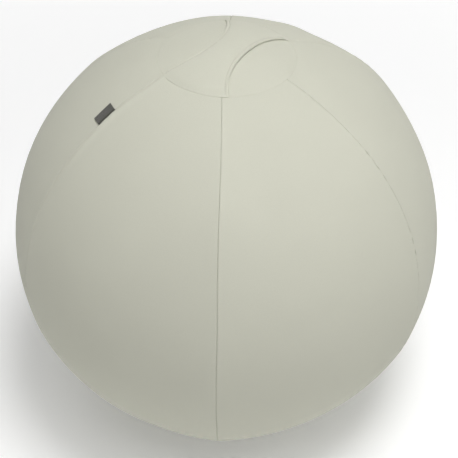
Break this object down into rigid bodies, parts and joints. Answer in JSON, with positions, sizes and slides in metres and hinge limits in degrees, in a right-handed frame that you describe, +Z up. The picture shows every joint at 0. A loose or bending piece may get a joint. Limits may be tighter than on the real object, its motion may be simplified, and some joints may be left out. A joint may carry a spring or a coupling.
{
  "type": "sitting ball",
  "caption": "Sitting ball: an inflated bladder in a zipped, panelled cloth cover with a round top cap, a sewn hourglass carry strap, a side label and a weighted flat foot.",
  "frame": {"origin": "centre of the flat foot, on the floor", "axes": "+Z up through the ball's centre; the carry strap runs along Y, with its front end towards -Y"},
  "size_m": [0.65, 0.6498, 0.6502],
  "materials": {
    "cover_cloth": "matte fine weave",
    "base_cloth": "matte, heavier weave",
    "strap_cloth": "matte fine weave",
    "thread": "spun thread",
    "label_weave": "satin weave",
    "zip_tape": "herringbone tape",
    "zip_coil": "nylon coil",
    "zip_metal": "lacquered",
    "bladder_vinyl": "satin",
    "valve_plastic": "moulded",
    "pouch_cloth": "coarse weave",
    "sand": "loose grains"
  },
  "bodies": {
    "ball": {"panel_front": "cover_cloth", "panel_front_right": "cover_cloth", "panel_rear_right": "cover_cloth", "panel_rear": "cover_cloth", "panel_rear_left": "cover_cloth", "panel_front_left": "cover_cloth", "top_cap": "cover_cloth", "base_cap": "base_cloth", "handle_front_end": "strap_cloth", "handle_rear_end": "strap_cloth", "panel_seam_threads": "thread", "cap_seam_thread": "thread", "base_seam_thread": "thread", "zip_tape_left": "zip_tape", "zip_tape_right": "zip_tape", "zip_coil_left": "zip_coil", "zip_coil_right": "zip_coil", "zip_top_stops": "zip_metal", "zip_bottom_stop": "zip_metal", "bladder": "bladder_vinyl", "valve_insert": "valve_plastic", "valve_plug": "valve_plastic", "ballast_pouch": "pouch_cloth", "ballast_fill": "sand"},
    "carry_handle": {"handle_grip": "strap_cloth"},
    "zip_slider": {"zip_slider": "zip_metal"},
    "zip_pull": {"zip_pull": "zip_metal"},
    "label": {"seam_label": "label_weave"}
  },
  "joints": [
    {"name": "handle_lift", "type": "slide", "parent": "ball", "child": "carry_handle", "axis": [0, 0, 1], "range_m": [0, 0.025]},
    {"name": "zip_travel", "type": "hinge", "parent": "ball", "child": "zip_slider", "pos_m": [0, 0, 0.31623], "axis": [-0.866, -0.5, 0], "range_deg": [0, 76.39]},
    {"name": "pull_flip", "type": "hinge", "parent": "zip_slider", "child": "zip_pull", "pos_m": [-0.15637, 0.27084, 0.41901], "axis": [0.866, 0.5, 0], "range_deg": [0, 150]},
    {"name": "label_flip", "type": "hinge", "parent": "ball", "child": "label", "pos_m": [-0.09156, -0.15859, 0.58569], "axis": [0.4135, 0.7163, 0.5621], "range_deg": [0, 120]}
  ]
}
